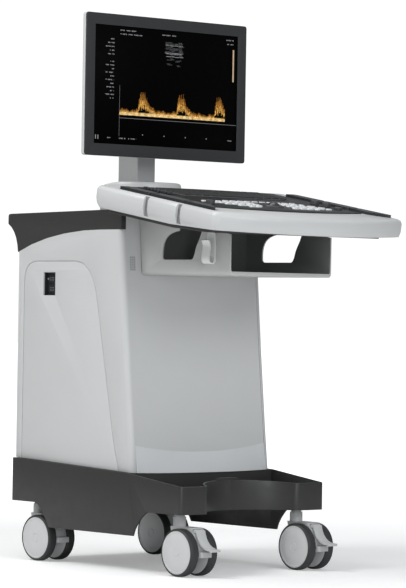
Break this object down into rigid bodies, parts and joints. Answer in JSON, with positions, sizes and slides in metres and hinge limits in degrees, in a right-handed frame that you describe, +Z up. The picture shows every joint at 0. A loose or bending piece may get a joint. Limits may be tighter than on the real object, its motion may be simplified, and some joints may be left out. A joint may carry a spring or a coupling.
{
  "type": "ultrasound machine",
  "caption": "Wheeled ultrasound machine with a cabinet on swivel casters, a sloping control console with probe holders, and a monitor that swivels and tilts on a post.",
  "frame": {"origin": "centre of the footprint of the overall box, on the floor under the wheels", "axes": "+X to the right seen by the operator, -Y towards the operator, +Z up"},
  "size_m": [0.532, 0.841, 1.1855],
  "materials": {
    "light_plastic": "fine moulded texture",
    "light_metal": "light grey powder coat",
    "dark_plastic": "fine moulded texture",
    "black_plastic": "satin",
    "steel_frame": "grey powder coat",
    "sheet_steel": "zinc plated",
    "axle_steel": "turned",
    "tyre_rubber": "smooth",
    "key_rubber": "soft",
    "key_white": "satin",
    "knob_plastic": "satin",
    "ball_resin": "polished",
    "bezel_plastic": "satin",
    "screen_glass": "glossy",
    "hook_plastic": "smooth"
  },
  "bodies": {
    "trolley": {"base_skirt": "dark_plastic", "base_frame": "steel_frame", "front_panel": "light_metal", "left_side_panel": "light_metal", "right_side_panel": "light_metal", "rear_cover": "light_metal", "top_cap": "dark_plastic", "left_service_cover": "light_plastic", "right_service_cover": "light_plastic", "port_block": "black_plastic", "rack_frame": "sheet_steel", "electronics_cage": "sheet_steel", "power_supply": "sheet_steel", "fan_housing": "black_plastic", "console_shell": "light_plastic", "console_bottom": "dark_plastic", "control_panel": "black_plastic", "letter_keypad": "key_rubber", "function_keypad": "key_white", "left_probe_holder": "black_plastic", "right_probe_holder": "black_plastic", "storage_box": "light_plastic", "cable_hook": "hook_plastic", "monitor_pole": "light_metal"},
    "swivel_head_body": {"swivel_head": "light_plastic"},
    "monitor": {"monitor_back": "light_plastic", "monitor_bezel": "bezel_plastic", "lcd_panel": "screen_glass"},
    "caster_fl": {"caster_fl_fork": "light_plastic", "caster_fl_axle": "axle_steel"},
    "caster_fl_left_wheel": {"caster_fl_wheel_left": "tyre_rubber"},
    "caster_fl_right_wheel": {"caster_fl_wheel_right": "tyre_rubber"},
    "caster_fl_pedal": {"caster_fl_brake_pedal": "light_plastic"},
    "caster_fr": {"caster_fr_fork": "light_plastic", "caster_fr_axle": "axle_steel"},
    "caster_fr_left_wheel": {"caster_fr_wheel_left": "tyre_rubber"},
    "caster_fr_right_wheel": {"caster_fr_wheel_right": "tyre_rubber"},
    "caster_fr_pedal": {"caster_fr_brake_pedal": "light_plastic"},
    "caster_rl": {"caster_rl_fork": "light_plastic", "caster_rl_axle": "axle_steel"},
    "caster_rl_left_wheel": {"caster_rl_wheel_left": "tyre_rubber"},
    "caster_rl_right_wheel": {"caster_rl_wheel_right": "tyre_rubber"},
    "caster_rr": {"caster_rr_fork": "light_plastic", "caster_rr_axle": "axle_steel"},
    "caster_rr_left_wheel": {"caster_rr_wheel_left": "tyre_rubber"},
    "caster_rr_right_wheel": {"caster_rr_wheel_right": "tyre_rubber"},
    "trackball_body": {"trackball": "ball_resin"},
    "gain_knob_body": {"gain_knob": "knob_plastic"},
    "depth_knob_body": {"depth_knob": "knob_plastic"},
    "zoom_knob_body": {"zoom_knob": "knob_plastic"},
    "freeze_key_body": {"freeze_key": "key_white"},
    "tgc_slider_1_body": {"tgc_slider_1": "knob_plastic"},
    "tgc_slider_2_body": {"tgc_slider_2": "knob_plastic"},
    "tgc_slider_3_body": {"tgc_slider_3": "knob_plastic"},
    "tgc_slider_4_body": {"tgc_slider_4": "knob_plastic"},
    "tgc_slider_5_body": {"tgc_slider_5": "knob_plastic"},
    "tgc_slider_6_body": {"tgc_slider_6": "knob_plastic"},
    "tgc_slider_7_body": {"tgc_slider_7": "knob_plastic"},
    "tgc_slider_8_body": {"tgc_slider_8": "knob_plastic"},
    "fan_rotor_body": {"fan_rotor": "black_plastic"}
  },
  "joints": [
    {"name": "caster_fl_swivel", "type": "hinge", "parent": "trolley", "child": "caster_fl", "pos_m": [-0.1655, -0.1405, 0], "axis": [0, 0, 1], "continuous": true},
    {"name": "caster_fl_left_spin", "type": "hinge", "parent": "caster_fl", "child": "caster_fl_left_wheel", "pos_m": [-0.1655, -0.1725, 0.05], "axis": [1, 0, 0], "continuous": true},
    {"name": "caster_fl_right_spin", "type": "hinge", "parent": "caster_fl", "child": "caster_fl_right_wheel", "pos_m": [-0.1655, -0.1725, 0.05], "axis": [1, 0, 0], "continuous": true},
    {"name": "caster_fl_pedal_pivot", "type": "hinge", "parent": "caster_fl", "child": "caster_fl_pedal", "pos_m": [-0.1655, -0.2015, 0.095], "axis": [1, 0, 0], "range_deg": [0, 10]},
    {"name": "caster_fr_swivel", "type": "hinge", "parent": "trolley", "child": "caster_fr", "pos_m": [0.1655, -0.1405, 0], "axis": [0, 0, 1], "continuous": true},
    {"name": "caster_fr_left_spin", "type": "hinge", "parent": "caster_fr", "child": "caster_fr_left_wheel", "pos_m": [0.1655, -0.1725, 0.05], "axis": [1, 0, 0], "continuous": true},
    {"name": "caster_fr_right_spin", "type": "hinge", "parent": "caster_fr", "child": "caster_fr_right_wheel", "pos_m": [0.1655, -0.1725, 0.05], "axis": [1, 0, 0], "continuous": true},
    {"name": "caster_fr_pedal_pivot", "type": "hinge", "parent": "caster_fr", "child": "caster_fr_pedal", "pos_m": [0.1655, -0.2015, 0.095], "axis": [1, 0, 0], "range_deg": [0, 10]},
    {"name": "caster_rl_swivel", "type": "hinge", "parent": "trolley", "child": "caster_rl", "pos_m": [-0.1655, 0.3305, 0], "axis": [0, 0, 1], "continuous": true},
    {"name": "caster_rl_left_spin", "type": "hinge", "parent": "caster_rl", "child": "caster_rl_left_wheel", "pos_m": [-0.1655, 0.2985, 0.05], "axis": [1, 0, 0], "continuous": true},
    {"name": "caster_rl_right_spin", "type": "hinge", "parent": "caster_rl", "child": "caster_rl_right_wheel", "pos_m": [-0.1655, 0.2985, 0.05], "axis": [1, 0, 0], "continuous": true},
    {"name": "caster_rr_swivel", "type": "hinge", "parent": "trolley", "child": "caster_rr", "pos_m": [0.1655, 0.3305, 0], "axis": [0, 0, 1], "continuous": true},
    {"name": "caster_rr_left_spin", "type": "hinge", "parent": "caster_rr", "child": "caster_rr_left_wheel", "pos_m": [0.1655, 0.2985, 0.05], "axis": [1, 0, 0], "continuous": true},
    {"name": "caster_rr_right_spin", "type": "hinge", "parent": "caster_rr", "child": "caster_rr_right_wheel", "pos_m": [0.1655, 0.2985, 0.05], "axis": [1, 0, 0], "continuous": true},
    {"name": "monitor_swivel", "type": "hinge", "parent": "trolley", "child": "swivel_head_body", "pos_m": [0, 0.2155, 0.99], "axis": [0, 0, 1], "range_deg": [-45, 45]},
    {"name": "monitor_tilt", "type": "hinge", "parent": "swivel_head_body", "child": "monitor", "pos_m": [0, 0.1725, 1.033], "axis": [1, 0, 0], "range_deg": [-20, 5]},
    {"name": "trackball_roll", "type": "hinge", "parent": "trolley", "child": "trackball_body", "pos_m": [0, -0.23319, 0.76627], "axis": [1, 0, 0], "continuous": true},
    {"name": "gain_knob_turn", "type": "hinge", "parent": "trolley", "child": "gain_knob_body", "pos_m": [-0.186, -0.24408, 0.77099], "axis": [0, -0.1599, 0.9871], "continuous": true},
    {"name": "depth_knob_turn", "type": "hinge", "parent": "trolley", "child": "depth_knob_body", "pos_m": [0.182, -0.20065, 0.77802], "axis": [0, -0.1599, 0.9871], "continuous": true},
    {"name": "zoom_knob_turn", "type": "hinge", "parent": "trolley", "child": "zoom_knob_body", "pos_m": [0.182, -0.16511, 0.78378], "axis": [0, -0.1599, 0.9871], "continuous": true},
    {"name": "freeze_key_press", "type": "slide", "parent": "trolley", "child": "freeze_key_body", "axis": [0, -0.1599, 0.9871], "range_m": [-0.0016, 0], "stiffness_N_per_m": 300},
    {"name": "tgc_slider_1_slide", "type": "slide", "parent": "trolley", "child": "tgc_slider_1_body", "axis": [1, 0, 0], "range_m": [-0.015, 0.015]},
    {"name": "tgc_slider_2_slide", "type": "slide", "parent": "trolley", "child": "tgc_slider_2_body", "axis": [1, 0, 0], "range_m": [-0.015, 0.015]},
    {"name": "tgc_slider_3_slide", "type": "slide", "parent": "trolley", "child": "tgc_slider_3_body", "axis": [1, 0, 0], "range_m": [-0.015, 0.015]},
    {"name": "tgc_slider_4_slide", "type": "slide", "parent": "trolley", "child": "tgc_slider_4_body", "axis": [1, 0, 0], "range_m": [-0.015, 0.015]},
    {"name": "tgc_slider_5_slide", "type": "slide", "parent": "trolley", "child": "tgc_slider_5_body", "axis": [1, 0, 0], "range_m": [-0.015, 0.015]},
    {"name": "tgc_slider_6_slide", "type": "slide", "parent": "trolley", "child": "tgc_slider_6_body", "axis": [1, 0, 0], "range_m": [-0.015, 0.015]},
    {"name": "tgc_slider_7_slide", "type": "slide", "parent": "trolley", "child": "tgc_slider_7_body", "axis": [1, 0, 0], "range_m": [-0.015, 0.015]},
    {"name": "tgc_slider_8_slide", "type": "slide", "parent": "trolley", "child": "tgc_slider_8_body", "axis": [1, 0, 0], "range_m": [-0.015, 0.015]},
    {"name": "fan_spin", "type": "hinge", "parent": "trolley", "child": "fan_rotor_body", "pos_m": [0, 0.362, 0.42], "axis": [0, 1, 0], "continuous": true}
  ]
}
